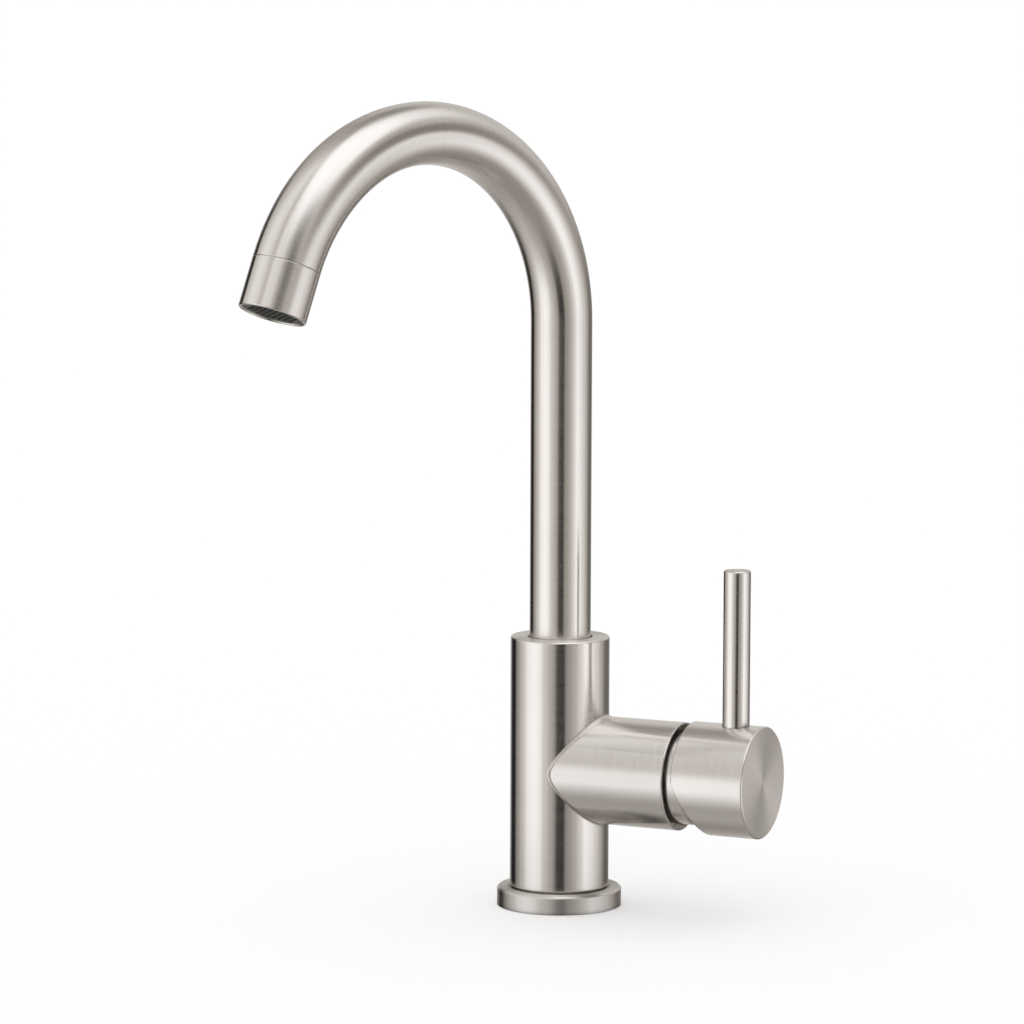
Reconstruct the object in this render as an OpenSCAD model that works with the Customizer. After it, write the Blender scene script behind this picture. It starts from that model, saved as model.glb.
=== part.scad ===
// Single-lever gooseneck bar faucet: a column with a side arm, a swivelling spout and a joystick handle.
// Origin: centre of the column on the deck. +Z is up, +X runs out along the side arm to the handle.

/* [Column] */
// Outer diameter of the column
column_d = 40.5; // [39:0.5:44]
// Height of the column's top above the deck
column_top = 111; // [106:1:130]
// Bevel round the column's top edge
column_bevel = 0.5; // [0.2:0.1:1]
// Depth of the shadow groove round the column's foot
foot_step = 0.8; // [0.4:0.1:1.2]
// Height of the shadow groove round the column's foot
foot_gap = 0.8; // [0.4:0.1:1.2]
// Diameter of the base flange
flange_d = 51; // [48:1:60]
// Height of the base flange
flange_h = 7.5; // [6.5:0.5:12]
// Bevel round the flange's top rim
flange_bevel = 0.8; // [0.3:0.1:1.5]
// Depth of the seat in the flange that takes the column's foot
flange_seat = 3; // [2:0.5:4]
// Width of the gasket under the flange
gasket_w = 3; // [2:0.5:4]
// Thickness of the gasket under the flange
gasket_t = 1.2; // [0.8:0.1:2]

/* [Side arm] */
// Height of the arm's axis above the deck
arm_z = 57; // [55:0.5:60]
// Outer diameter of the arm
arm_d = 44; // [43:0.5:48]
// Distance from the column's axis to the arm's end
arm_end = 55; // [53:0.5:60]
// Bevel round the arm's end
arm_bevel = 0.3; // [0.1:0.1:0.6]
// Wall of the lip round the arm's open end
arm_lip = 0.8; // [0.6:0.1:1.4]
// Depth of the open recess in the arm's end
arm_recess = 5; // [3:0.5:6]
// How far the arm's end stands off the column before the blend strip
seam_gap = 0.7; // [0.4:0.1:1.5]
// Height of the blend strip above and below the arm
seam_bevel = 0.8; // [0.6:0.1:3]

/* [Spout] */
// Outer diameter of the spout tube
tube_d = 25; // [22:0.5:26]
// Wall of the spout tube
tube_wall = 1.2; // [0.8:0.1:2]
// Outer diameter of the flared outlet end
flare_d = 27; // [26.5:0.5:29]
// Height where the riser ends and the arch begins
arch_start = 240; // [200:5:300]
// Radius of the arch's centre line
arch_r = 78; // [60:0.5:100]
// Angle that the arch turns through
arch_sweep = 158; // [150:0.5:165]
// Angle round the arch where the flare begins
flare_from = 90; // [60:5:100]
// Angle round the arch where the flare is full
flare_to = 138; // [120:1:142]
// Compass direction of the spout as stored, from +X
spout_azimuth = -110; // [-180:5:180]
// Depth of the tube's lower end below the column's top
tube_depth = 11; // [8:1:14]
// Gap between the tube and the column's bore
socket_gap = 0.5; // [0.3:0.05:0.8]
// Bevel round the mouth of the column's bore
socket_bevel = 0.5; // [0.2:0.1:1]

/* [Spout bearing] */
// Height of the socket's floor above the deck
socket_floor = 76; // [75.5:0.5:78]
// Thickness of the thrust washer on the socket's floor
thrust_t = 1.5; // [1:0.25:2.5]
// Bore through the spout bush
bush_bore = 18; // [14:1:18]
// Length of the bush's spigot inside the tube
bush_spigot = 12; // [8:1:20]
// Thickness of each O-ring
o_ring_t = 2.2; // [1.8:0.1:2.4]
// Height of each glide ring
glide_h = 3; // [2:0.5:3]
// Thickness of the snap ring
snap_t = 1.4; // [1:0.1:1.6]

/* [Aerator] */
// Length of the aerator housing
housing_len = 20; // [18:0.5:26]
// Bevel round both ends of the housing
housing_bevel = 0.3; // [0.1:0.1:0.5]
// Wall of the housing at its mouth
mouth_wall = 0.8; // [0.6:0.1:1.2]
// Diameter of the outlet threads, which take the insert above and the aerator below
outlet_thread_d = 24; // [22.5:0.5:24]
// Thickness of the shelf between the two outlet threads
shelf_t = 1.2; // [0.8:0.1:2]
// Depth of the open mouth above the grille
mouth_depth = 0.6; // [0.4:0.1:2]
// Thickness of the outlet grille
grille_t = 2; // [1:0.25:3]
// Width of each hexagonal cell between its flats
cell_w = 1.9; // [1.6:0.1:3]
// Web between the cells
cell_web = 0.45; // [0.35:0.05:0.8]
// Length that the outlet insert stands out of the tube
insert_out = 6; // [5:0.5:7]
// Length of the outlet insert inside the tube
insert_in = 8; // [6:0.5:9]
// Wall of the outlet insert
insert_wall = 1.8; // [1.4:0.1:2.4]

/* [Handle] */
// Diameter of the handle hub
hub_d = 45.5; // [45:0.5:50]
// Distance from the column's axis to the hub's rear edge
hub_back = 59; // [58.3:0.1:60]
// Distance from the column's axis to the hub's face
hub_face = 90; // [88:0.5:100]
// Wall of the hub round its open rear
hub_wall = 1.5; // [1.2:0.1:1.6]
// Depth of the hub's open rear
hub_cavity = 11; // [10.5:0.5:13]
// Bevel round the hub's face
hub_bevel = 0.5; // [0.2:0.1:1]
// Bevel round the hub's rear edge
hub_rear_bevel = 0.4; // [0.2:0.1:0.8]
// Angle of the relief cut across the hub's lower rear
relief_angle = 24; // [22:0.5:27]
// Height above the arm's axis where the relief cut starts
relief_start = 1.5; // [0:0.5:3]
// Diameter of the lever rod
lever_d = 11; // [8:0.5:12]
// Distance from the column's axis to the lever rod
lever_x = 78; // [77:0.5:82]
// Height of the lever's top above the deck
lever_top = 142.5; // [110:2.5:180]
// Bevel round the lever's top
lever_bevel = 0.4; // [0.2:0.1:1]
// Depth of the lever's seat below the hub's crown
lever_seat = 5; // [3:0.5:7]
// Diameter of the lever's threaded tenon
tenon_d = 6; // [5:0.5:7]
// Length of the lever's threaded tenon
tenon_len = 8; // [6:0.5:9]

/* [Cartridge] */
// Diameter of the cartridge body
cartridge_d = 35; // [34:0.25:35.5]
// Distance from the column's axis to the cartridge's seat
seat_x = 21; // [20.5:0.25:21.5]
// Distance from the column's axis to the stem's pivot
pivot_x = 50; // [49.5:0.25:50.5]
// Largest tilt of the handle, used for the clearances round the stem
tilt_max = 23; // [20:1:23]
// Thickness of the fixed ceramic disc
fixed_disc_t = 3.5; // [2.5:0.25:3.5]
// Thickness of the moving ceramic disc
moving_disc_t = 4; // [3:0.25:4]
// Diameter of the moving ceramic disc
moving_disc_d = 22; // [20:0.5:22.5]
// Width of the square stem
stem_w = 7.5; // [6:0.5:8]
// Diameter of the stem's pivot pin
pin_d = 3; // [2.5:0.25:3.5]
// Diameter of the stem's ball end
ball_d = 5; // [4:0.25:5.5]
// Diameter of the inlet ports
inlet_d = 6.4; // [5:0.2:7]
// Diameter of the outlet port
outlet_d = 8; // [6:0.25:8.5]
// Gap between the bonnet ring and the lip of the arm's end
recess_gap = 2; // [1.8:0.1:2.2]
// Wall of the bonnet ring
bonnet_wall = 1.6; // [1.2:0.1:2]
// Distance from the column's axis to the end of the bonnet's straight wall
bonnet_shoulder = 61; // [60:0.25:61]
// Distance from the column's axis to the bonnet's front
bonnet_front = 64; // [63:0.25:64.5]

/* [Below the deck] */
// Diameter of the threaded shank
shank_d = 32; // [30:0.5:33]
// Bore of the shank, which the hoses pass through
shank_bore = 27; // [26:0.5:28]
// How far the shank reaches below the deck
shank_len = 58; // [50:1:80]
// Thickness of the deck that the nut is set for
deck_t = 20; // [3:1:40]
// Outer diameter of the washers
washer_d = 54; // [48:1:60]
// Thickness of the rubber washer
rubber_t = 3; // [2:0.5:5]
// Thickness of the steel washer
steel_t = 2; // [1.5:0.5:3]
// Width of the nut between its flats
nut_w = 41; // [38:1:46]
// Thickness of the nut
nut_t = 9; // [6:0.5:9]
// Minor diameter of the M10 x 1 hose threads
hose_thread_d = 9; // [8.5:0.1:9.2]
// Length of the hose threads
hose_thread_len = 14; // [10:1:16]
// Distance of each hose thread from the column's axis
hose_y = 6.8; // [6.4:0.1:7]

/* [Hidden] */
$fn = 96;

// Clearances, each measured on the radius unless it says otherwise
fit = 0.05;          // running and thread fits
loose = 0.3;         // parts that move past each other without touching
slip = 0.1;          // assembled parts that do not move on each other
eps = 0.01;          // overshoot of a cut past a face

column_r = column_d / 2;
arm_r = arm_d / 2;
tube_r = tube_d / 2;
tube_in = tube_r - tube_wall;
flare_r = flare_d / 2;
hub_r = hub_d / 2;
hub_in = hub_r - hub_wall;
socket_r = tube_r + socket_gap;
column_foot = flange_h - flange_seat;
foot_top = flange_h + foot_gap;
spigot_r = column_r - foot_step;
shank_r = shank_d / 2;
shank_top = 20;
hose_port_top = shank_top + hose_thread_len;

// Cartridge stack along the arm, from its seat outwards
seal_t = 0.3;
base_t = 5;
base_x = seat_x + seal_t;
fixed_x = base_x + base_t + seal_t;
moving_x = fixed_x + fixed_disc_t;
carrier_x = moving_x + moving_disc_t;
carrier_t = 4;
rotor_x = carrier_x + carrier_t + loose;
rotor_flange_t = 3;
neck_x = rotor_x + rotor_flange_t + slip;
shoulder_t = 2.3;
nut_x = neck_x + shoulder_t;
recess_x = arm_end - arm_recess;
housing_r = cartridge_d / 2;
chamber_r = housing_r + 0.25;
housing_in = housing_r - 2.7;
neck_in = 9.55;
neck_r = 12.5;
neck_end = pivot_x + 2;
rotor_neck_r = neck_in - fit;
rotor_end = pivot_x + 4;
bonnet_r = arm_r - arm_lip - recess_gap;
nut_thread_r = bonnet_r - 0.2;
bonnet_in = bonnet_r - bonnet_wall;
port_y = 6.8;
inlet_drop = 4;
outlet_rise = 8;

// The carrier slides this far for a full tilt, half to each side of the middle
slot_floor = 0.4;
ball_x = carrier_x + slot_floor + loose + ball_d / 2;
ball_reach = pivot_x - ball_x;
carrier_travel = ball_reach * tilt_max * PI / 180;
carrier_rest = -carrier_travel / 2;

// Spout bush, from the thrust washer upwards
bush_z = socket_floor + thrust_t;
tube_end = column_top - tube_depth;
bush_r = tube_r;
snap_z = bush_z + 2.5;
glide_low_z = snap_z + snap_t + 1.6;
o_low_z = glide_low_z + glide_h + 1.2 + o_ring_t / 2;
glide_high_z = tube_end - 1.2 - glide_h;
o_high_z = glide_high_z - 1.2 - o_ring_t / 2;

// Outlet end of the spout: distances run back up the outlet axis from the housing's mouth
outlet_thread_r = outlet_thread_d / 2;
mouth_r = flare_r - mouth_wall;
aerator_r = outlet_thread_r - fit;
insert_r = outlet_thread_r - fit;
shelf_top = housing_len - insert_out;
shelf_low = shelf_top - shelf_t;
aerator_gasket_t = 1.5;
aerator_top = shelf_low - aerator_gasket_t;
shelf_r = insert_r - insert_wall;

// Lever and set screw
lever_r = lever_d / 2;
lever_foot = arm_z + hub_r - lever_seat;
stem_end = hub_back + hub_cavity + 13;
screw_x = stem_end - 6;
screw_r = 2;
plug_r = 3;
plug_t = 2;

// A cylinder lying along the arm's axis from x0 to x1
module rod_x(x0, x1, r) {
    translate([x0, 0, arm_z]) rotate([0, 90, 0]) cylinder(h = x1 - x0, r = r);
}

// A cone lying along the arm's axis
module cone_x(x0, x1, r0, r1) {
    translate([x0, 0, arm_z]) rotate([0, 90, 0]) cylinder(h = x1 - x0, r1 = r0, r2 = r1);
}

// A ring lying along the arm's axis
module ring_x(x0, x1, r_in, r_out) {
    difference() {
        rod_x(x0, x1, r_out);
        rod_x(x0 - 1, x1 + 1, r_in);
    }
}

// A block centred on the arm's axis in Y, from x0 to x1 and from z0 to z1 above the axis
module block_x(x0, x1, half_y, z0, z1) {
    translate([x0, -half_y, arm_z + z0]) cube([x1 - x0, 2 * half_y, z1 - z0]);
}

// An upright ring
module ring_z(z0, z1, r_in, r_out) {
    translate([0, 0, z0]) difference() {
        cylinder(h = z1 - z0, r = r_out);
        translate([0, 0, -1]) cylinder(h = z1 - z0 + 2, r = r_in);
    }
}

// An upright O-ring of section diameter t whose outside reaches r_out
module o_ring_z(z, r_out, t) {
    translate([0, 0, z]) rotate_extrude() translate([r_out - t / 2, 0]) circle(d = t, $fn = 32);
}

// The three water ports of the cartridge, as children placed on each port's axis
module at_inlets() {
    for (side = [-1, 1]) translate([0, side * port_y, -inlet_drop]) children();
}
module at_outlet() {
    translate([0, 0, outlet_rise]) children();
}

// Points of the blend strip between the arm and the column.
// Its outer edge lies on the arm's end, which an upright cylinder just larger than both has cut,
// and its inner edge runs into the column.
seam_r = max(column_r, arm_r) + seam_gap;
core_r = arm_r - 2.2;
seam_steps = 72;
seam_sink = 0.25;
seam_shares = [0.99, 0.965, 0.94, 0.915, 0.89];
function seam_arm(a, share) = let (y = share * arm_r * sin(a))
    [sqrt(pow(seam_r, 2) - pow(y, 2)) + (share < seam_shares[0] ? 0.3 : -0.06), y, share * arm_r * cos(a)];
function seam_column(a) = let (r = column_r - seam_sink, y = min(0.985 * r, arm_r + seam_bevel) * sin(a))
    [sqrt(pow(r, 2) - pow(y, 2)), y, (arm_r + seam_bevel) * cos(a)];
function seam_inside(a) = let (r = core_r - 0.3, p = seam_column(a))
    [p[0] - 1.5, 0.97 * r * sin(a), r * cos(a)];
function seam_section(a) = concat([for (share = seam_shares) seam_arm(a, share)],
    [seam_inside(a), seam_column(a)]);

// A closed ring of sections joined by quads, each split into two triangles
function ring_faces(count, n) = [for (i = [0 : count - 1], k = [0 : n - 1])
    let (j = (i + 1) % count, m = (k + 1) % n)
    each [[i * n + k, j * n + m, i * n + m], [i * n + k, j * n + k, j * n + m]]];

module seam_strip() {
    sections = [for (i = [0 : seam_steps - 1]) seam_section(i * 360 / seam_steps)];
    translate([0, 0, arm_z])
        polyhedron([for (s = sections) each s], ring_faces(seam_steps, len(sections[0])));
}

// Column, side arm and their waterways in one casting
module body() {
    color([0.72, 0.69, 0.65]) difference() {
        union() {
            translate([0, 0, column_foot]) cylinder(h = foot_top + 1 - column_foot, r = spigot_r);
            translate([0, 0, foot_top]) cylinder(h = column_top - column_bevel - foot_top, r = column_r);
            translate([0, 0, column_top - column_bevel])
                cylinder(h = column_bevel, r1 = column_r, r2 = column_r - column_bevel);
            difference() {
                union() {
                    rod_x(0, arm_end - arm_bevel, arm_r);
                    cone_x(arm_end - arm_bevel, arm_end, arm_r, arm_r - arm_bevel);
                }
                translate([0, 0, arm_z - arm_r - 1]) cylinder(h = arm_d + 2, r = seam_r);
            }
            rod_x(0, arm_end / 2, core_r);
            seam_strip();
        }
        body_bores();
    }
}

module body_bores() {
    // spout socket with its bevelled mouth and snap-ring groove
    translate([0, 0, socket_floor]) cylinder(h = column_top - socket_floor + 1, r = socket_r);
    translate([0, 0, column_top - socket_bevel])
        cylinder(h = socket_bevel + eps, r1 = socket_r, r2 = socket_r + socket_bevel + eps);
    translate([0, 0, snap_z - 0.15]) cylinder(h = snap_t + 0.3, r = socket_r + 0.75);
    // mixed water rises from the cartridge to the socket
    translate([0, 0, arm_z + outlet_rise - 4]) cylinder(h = socket_floor - arm_z - outlet_rise + 5, r = 7);
    at_outlet() rod_x(0, seat_x + 1, outlet_d / 2);
    // cartridge chamber, nut thread and open recess
    rod_x(seat_x, nut_x + 1, chamber_r);
    rod_x(nut_x - 1, recess_x + 1, nut_thread_r);
    rod_x(recess_x, arm_end + 1, arm_r - arm_lip);
    // locating holes for the cartridge's feet
    at_feet() rod_x(seat_x - 2.4, seat_x + 1, foot_r + slip);
    // hot and cold water rise from the hose threads to the cartridge
    at_inlets() rod_x(-2, seat_x + 1, inlet_d / 2);
    for (side = [-1, 1]) translate([0, side * hose_y, shank_top - 1]) {
        cylinder(h = hose_thread_len + 1, r = hose_thread_d / 2);
        cylinder(h = arm_z - inlet_drop + inlet_d / 2 - shank_top + 1, r = inlet_d / 2);
    }
    // socket for the shank
    translate([0, 0, column_foot - 1]) cylinder(h = shank_top - column_foot + 1, r = shank_r + fit);
}

module base_flange() {
    color([0.72, 0.69, 0.65]) difference() {
        union() {
            cylinder(h = flange_h - flange_bevel, r = flange_d / 2);
            translate([0, 0, flange_h - flange_bevel])
                cylinder(h = flange_bevel, r1 = flange_d / 2, r2 = flange_d / 2 - flange_bevel);
        }
        translate([0, 0, column_foot]) cylinder(h = flange_seat + 1, r = spigot_r + slip);
        translate([0, 0, flange_h - loose])
            cylinder(h = loose + eps, r1 = spigot_r + slip, r2 = spigot_r + slip + loose + eps);
        translate([0, 0, -1]) cylinder(h = flange_h + 2, r = shank_r + loose);
        ring_z(-1, gasket_t, gasket_in - slip, gasket_in + gasket_w + slip);
    }
}
gasket_in = (shank_r + flange_d / 2 - gasket_w) / 2;

module base_gasket() {
    color([0.08, 0.08, 0.08]) ring_z(0, gasket_t, gasket_in, gasket_in + gasket_w);
}

module mounting_shank() {
    color([0.76, 0.6, 0.33]) difference() {
        union() {
            translate([0, 0, 1 - shank_len]) cylinder(h = shank_top - 1 + shank_len, r = shank_r);
            translate([0, 0, -shank_len]) cylinder(h = 1, r1 = shank_r - 1, r2 = shank_r);
        }
        translate([0, 0, -shank_len - 1]) cylinder(h = shank_top + shank_len + 2, r = shank_bore / 2);
    }
}

module rubber_washer() {
    color([0.08, 0.08, 0.08]) ring_z(-deck_t - rubber_t, -deck_t, shank_r + loose, washer_d / 2);
}

module steel_washer() {
    top = -deck_t - rubber_t;
    color([0.75, 0.76, 0.77]) ring_z(top - steel_t, top, shank_r + loose, washer_d / 2);
}

module mounting_nut() {
    top = -deck_t - rubber_t - steel_t;
    across = nut_w / cos(30);
    color([0.76, 0.6, 0.33]) difference() {
        intersection() {
            translate([0, 0, top - nut_t]) cylinder(h = nut_t, d = across, $fn = 6);
            // the corners are turned off top and bottom
            translate([0, 0, top - nut_t]) cylinder(h = nut_t, d1 = nut_w + 1, d2 = nut_w + 1 + 2 * nut_t);
            translate([0, 0, top - nut_t]) cylinder(h = nut_t, d1 = nut_w + 1 + 2 * nut_t, d2 = nut_w + 1);
        }
        translate([0, 0, top - nut_t - 1]) cylinder(h = nut_t + 2, r = shank_r + fit);
    }
}

module spout_thrust_washer() {
    color([0.9, 0.9, 0.87]) ring_z(socket_floor, bush_z, bush_bore / 2, socket_r - 0.2);
}

// The spout is drawn in the XZ plane, running out along +X, and then turned to its direction
module turned() {
    rotate([0, 0, spout_azimuth]) children();
}

// A stretch of the arch, as a bent rod of radius r between two angles round the arch
module arch_rod(from, to, r) {
    translate([arch_r, 0, arch_start]) rotate([0, 0, 180]) rotate([90, 0, 0]) rotate([0, 0, from])
        rotate_extrude(angle = to - from) translate([arch_r, 0]) circle(r = r);
}

// Places children at an angle round the arch, with +Z along the tube
module at_arch(a) {
    translate([arch_r - arch_r * cos(a), 0, arch_start + arch_r * sin(a)]) rotate([0, a, 0]) children();
}

// The outlet frame: origin at the housing's mouth, +Z back up the tube
module at_outlet_end() {
    turned() at_arch(arch_sweep) translate([0, 0, housing_len]) mirror([0, 0, 1]) children();
}

// The flare's radius follows a smooth step between its two angles
function flare_share(a) = let (t = min(1, max(0, (a - flare_from) / (flare_to - flare_from)))) t * t * (3 - 2 * t);
function flare_radius(a) = tube_r + (flare_r - tube_r) * flare_share(a) - 0.03;
function flare_ring(a, sides) = [for (k = [0 : sides - 1]) let (b = k * 360 / sides, r = flare_radius(a),
    d = arch_r + r * cos(b)) [arch_r - d * cos(a), r * sin(b), arch_start + d * sin(a)]];

// A closed tube through rings of the same number of points, with flat ends
function tube_faces(rings, sides) = concat(
    [[for (k = [sides - 1 : -1 : 0]) k]],
    [for (i = [0 : rings - 2], k = [0 : sides - 1]) let (m = (k + 1) % sides, p = i * sides, q = (i + 1) * sides)
        each [[p + k, q + m, q + k], [p + k, p + m, q + m]]],
    [[for (k = [0 : sides - 1]) (rings - 1) * sides + k]]);

module flare() {
    sides = 48;
    lap = 0.4;
    step = (flare_to - flare_from + 2 * lap) / 18;
    rings = [for (i = [0 : 18]) flare_ring(flare_from - lap + i * step, sides)];
    polyhedron([for (r = rings) each r], tube_faces(len(rings), sides));
}

module spout_tube() {
    color([0.72, 0.69, 0.65]) turned() difference() {
        union() {
            translate([0, 0, tube_end]) cylinder(h = arch_start - tube_end, r = tube_r);
            arch_rod(0, flare_from, tube_r);
            flare();
            arch_rod(flare_to, arch_sweep, flare_r);
        }
        translate([0, 0, tube_end - 1]) cylinder(h = arch_start - tube_end + 1, r = tube_in);
        arch_rod(0, arch_sweep + 0.5, tube_in);
        // straight seat for the outlet insert
        at_arch(arch_sweep) translate([0, 0, -insert_in]) cylinder(h = insert_in + 1, r = outlet_thread_r);
    }
}

// Turned bush that carries the spout in its socket
module spout_bush() {
    color([0.76, 0.6, 0.33]) difference() {
        union() {
            translate([0, 0, bush_z]) cylinder(h = tube_end - bush_z, r = bush_r);
            translate([0, 0, tube_end - 1]) cylinder(h = bush_spigot + 1, r = tube_in - fit);
        }
        translate([0, 0, bush_z - 1]) cylinder(h = tube_end - bush_z + bush_spigot + 2, r = bush_bore / 2);
        ring_z(snap_z - slip, snap_z + snap_t + slip, snap_in - slip, bush_r + 1);
        for (z = [glide_low_z, glide_high_z])
            ring_z(z - slip, z + glide_h + slip, glide_in - slip, bush_r + 1);
        for (z = [o_low_z, o_high_z])
            ring_z(z - o_ring_t / 2 - slip, z + o_ring_t / 2 + slip, o_ring_out - o_ring_t - fit, bush_r + 1);
    }
}
glide_in = bush_r - 1.2;
snap_in = bush_r - 0.8;
o_ring_out = socket_r - fit;

module spout_glide_rings() {
    color([0.9, 0.9, 0.87]) for (z = [glide_low_z, glide_high_z]) difference() {
        ring_z(z, z + glide_h, glide_in, socket_r - fit);
        // each ring is split so that it springs over the bush
        translate([glide_in - 1, -0.4, z - 1]) cube([4, 0.8, glide_h + 2]);
    }
}

module spout_o_rings() {
    color([0.08, 0.08, 0.08]) for (z = [o_low_z, o_high_z]) o_ring_z(z, o_ring_out, o_ring_t);
}

module spout_snap_ring() {
    color([0.75, 0.76, 0.77]) difference() {
        ring_z(snap_z, snap_z + snap_t, snap_in, socket_r + 0.45);
        translate([snap_in - 1, -2.5, snap_z - 1]) cube([5, 5, snap_t + 2]);
    }
}

// Threaded sleeve inside the tube's end, which the aerator housing screws onto
module outlet_insert() {
    color([0.76, 0.6, 0.33]) at_outlet_end()
        ring_z(shelf_top, housing_len + insert_in, insert_r - insert_wall, insert_r);
}

module aerator_housing() {
    color([0.72, 0.69, 0.65]) at_outlet_end() difference() {
        union() {
            translate([0, 0, housing_bevel]) cylinder(h = housing_len - 2 * housing_bevel, r = flare_r);
            cylinder(h = housing_bevel, r1 = flare_r - housing_bevel, r2 = flare_r);
            translate([0, 0, housing_len - housing_bevel])
                cylinder(h = housing_bevel, r1 = flare_r, r2 = flare_r - housing_bevel);
        }
        translate([0, 0, -1]) cylinder(h = mouth_depth + 1, r = mouth_r);
        translate([0, 0, mouth_depth - 1]) cylinder(h = shelf_low - mouth_depth + 1, r = outlet_thread_r);
        translate([0, 0, shelf_low - 1]) cylinder(h = shelf_t + 2, r = shelf_r);
        translate([0, 0, shelf_top]) cylinder(h = housing_len, r = outlet_thread_r);
    }
}

module aerator_gasket() {
    color([0.08, 0.08, 0.08]) at_outlet_end()
        ring_z(aerator_top, shelf_low, screen_r + slip, aerator_r - slip);
}

// Filter screen with rings of holes, on top of the diffuser inside the gasket
screen_r = shelf_r - 0.4;
module inlet_screen() {
    color([0.75, 0.76, 0.77]) at_outlet_end() translate([0, 0, aerator_top]) difference() {
        cylinder(h = 0.8, r = screen_r);
        for (ring = [0 : 2], i = [0 : 7 + 6 * ring])
            rotate([0, 0, i * 360 / (8 + 6 * ring)]) translate([2.2 + ring * 2.4, 0, -1]) cylinder(h = 3, r = 0.6);
    }
}

diffuser_wall = 1.6;
diffuser_floor = 2;
jet_inset = 4.85;
jet_r = 0.8;
module aerator_diffuser() {
    low = mouth_depth + grille_t;
    color([0.2, 0.22, 0.21]) at_outlet_end() difference() {
        translate([0, 0, low]) cylinder(h = aerator_top - low, r = aerator_r);
        translate([0, 0, low - 1]) cylinder(h = aerator_top - low + 1 - diffuser_floor, r = aerator_r - diffuser_wall);
        for (i = [0 : 11]) rotate([0, 0, i * 30])
            translate([aerator_r - diffuser_wall - jet_inset, 0, low]) cylinder(h = aerator_top, r = jet_r);
    }
}

// Honeycomb grille at the outlet
module aerator_grille() {
    pitch = cell_w + cell_web;
    reach = aerator_r - 0.9 - cell_w / sqrt(3);
    rows = ceil(reach / (pitch * sqrt(3) / 2));
    color([0.35, 0.37, 0.37]) at_outlet_end() translate([0, 0, mouth_depth]) difference() {
        cylinder(h = grille_t, r = aerator_r);
        for (row = [-rows : rows], col = [-rows : rows]) {
            x = (col + (row % 2 == 0 ? 0 : 0.5)) * pitch;
            y = row * pitch * sqrt(3) / 2;
            if (norm([x, y]) < reach) translate([x, y, -1]) rotate([0, 0, 30])
                cylinder(h = grille_t + 2, d = cell_w / cos(30), $fn = 6);
        }
    }
}

// Two feet under the cartridge keep it from turning
foot_r = 1.5;
module at_feet() {
    for (side = [-1, 1]) translate([0, side * 12.5, 3]) children();
}

module cartridge_base() {
    color([0.9, 0.9, 0.87]) {
        difference() {
            rod_x(base_x, base_x + base_t, housing_r - 0.3);
            at_inlets() rod_x(base_x - 1, base_x + base_t + 1, inlet_d / 2);
            at_outlet() rod_x(base_x - 1, base_x + base_t + 1, outlet_d / 2);
            // seats for the port seals on both faces
            for (x = [base_x - eps, base_x + base_t - 1.2 + eps]) {
                at_inlets() rod_x(x, x + 1.2, inlet_d / 2 + seal_w + slip);
                at_outlet() rod_x(x, x + 1.2, outlet_d / 2 + seal_w + slip);
            }
        }
        at_feet() rod_x(base_x - 2.2, base_x + 0.5, foot_r);
    }
}
seal_w = 1.2;

// One seal round each of the three ports, from x0 to x1
module port_seals(x0, x1) {
    at_inlets() ring_x(x0, x1, inlet_d / 2, inlet_d / 2 + seal_w);
    at_outlet() ring_x(x0, x1, outlet_d / 2, outlet_d / 2 + seal_w);
}

module base_port_seals() {
    color([0.08, 0.08, 0.08]) port_seals(seat_x, base_x + 1.2 - eps);
}

module disc_port_seals() {
    color([0.08, 0.08, 0.08]) port_seals(base_x + base_t - 1.2 + eps, fixed_x);
}

module fixed_disc() {
    color([0.93, 0.92, 0.88]) difference() {
        rod_x(fixed_x, moving_x, housing_in - slip);
        at_inlets() rod_x(fixed_x - 1, moving_x + 1, inlet_d / 2);
        at_outlet() rod_x(fixed_x - 1, moving_x + 1, outlet_d / 2);
        // notches that key the disc to the housing
        for (side = [-1, 1]) translate([0, side * housing_in, 0]) rod_x(fixed_x - 1, moving_x + 1, 1.6);
    }
}

module cartridge_housing() {
    color([0.9, 0.9, 0.87]) {
        difference() {
            union() {
                rod_x(base_x + base_t, neck_x + shoulder_t, housing_r);
                rod_x(neck_x, neck_end, neck_r);
            }
            rod_x(base_x + base_t - 1, neck_x, housing_in);
            rod_x(neck_x - 1, neck_end + 1, neck_in);
        }
        for (side = [-1, 1]) difference() {
            translate([0, side * housing_in, 0]) rod_x(fixed_x, moving_x - 0.5, 1.4);
            ring_x(fixed_x - 1, moving_x, housing_r, housing_r + 5);
        }
    }
}

// Brass nut that holds the cartridge, with a collar that the bonnet ring screws onto
module cartridge_nut() {
    color([0.76, 0.6, 0.33]) difference() {
        union() {
            rod_x(nut_x, recess_x, nut_thread_r - fit);
            rod_x(recess_x - 1, rotor_end, bonnet_in - fit);
        }
        rod_x(nut_x - 1, rotor_end + 1, neck_r + loose);
        // spanner notches
        for (i = [0 : 3]) translate([0, 0, arm_z]) rotate([i * 90, 0, 0])
            translate([rotor_end - 2.5, -2, 10]) cube([4, 4, 12]);
    }
}

// Trim ring that covers the nut: straight at the back and rounded over to its mouth in front
bonnet_mouth_r = 12.5;
bonnet_steps = 6;
function bonnet_arc(r, grow) = [for (i = [0 : bonnet_steps]) let (a = i * 90 / bonnet_steps)
    [bonnet_mouth_r + (r - bonnet_mouth_r) * cos(a), bonnet_shoulder + grow + (bonnet_front - bonnet_shoulder) * sin(a)]];
module bonnet_ring() {
    back = recess_x + loose;
    inner = bonnet_arc(bonnet_in, -bonnet_wall);
    profile = concat([[bonnet_in, back], [bonnet_r, back]], bonnet_arc(bonnet_r, 0),
        [for (i = [bonnet_steps : -1 : 0]) inner[i]]);
    color([0.72, 0.69, 0.65]) translate([0, 0, arm_z]) rotate([0, 90, 0]) rotate_extrude() polygon(profile);
}

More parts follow.
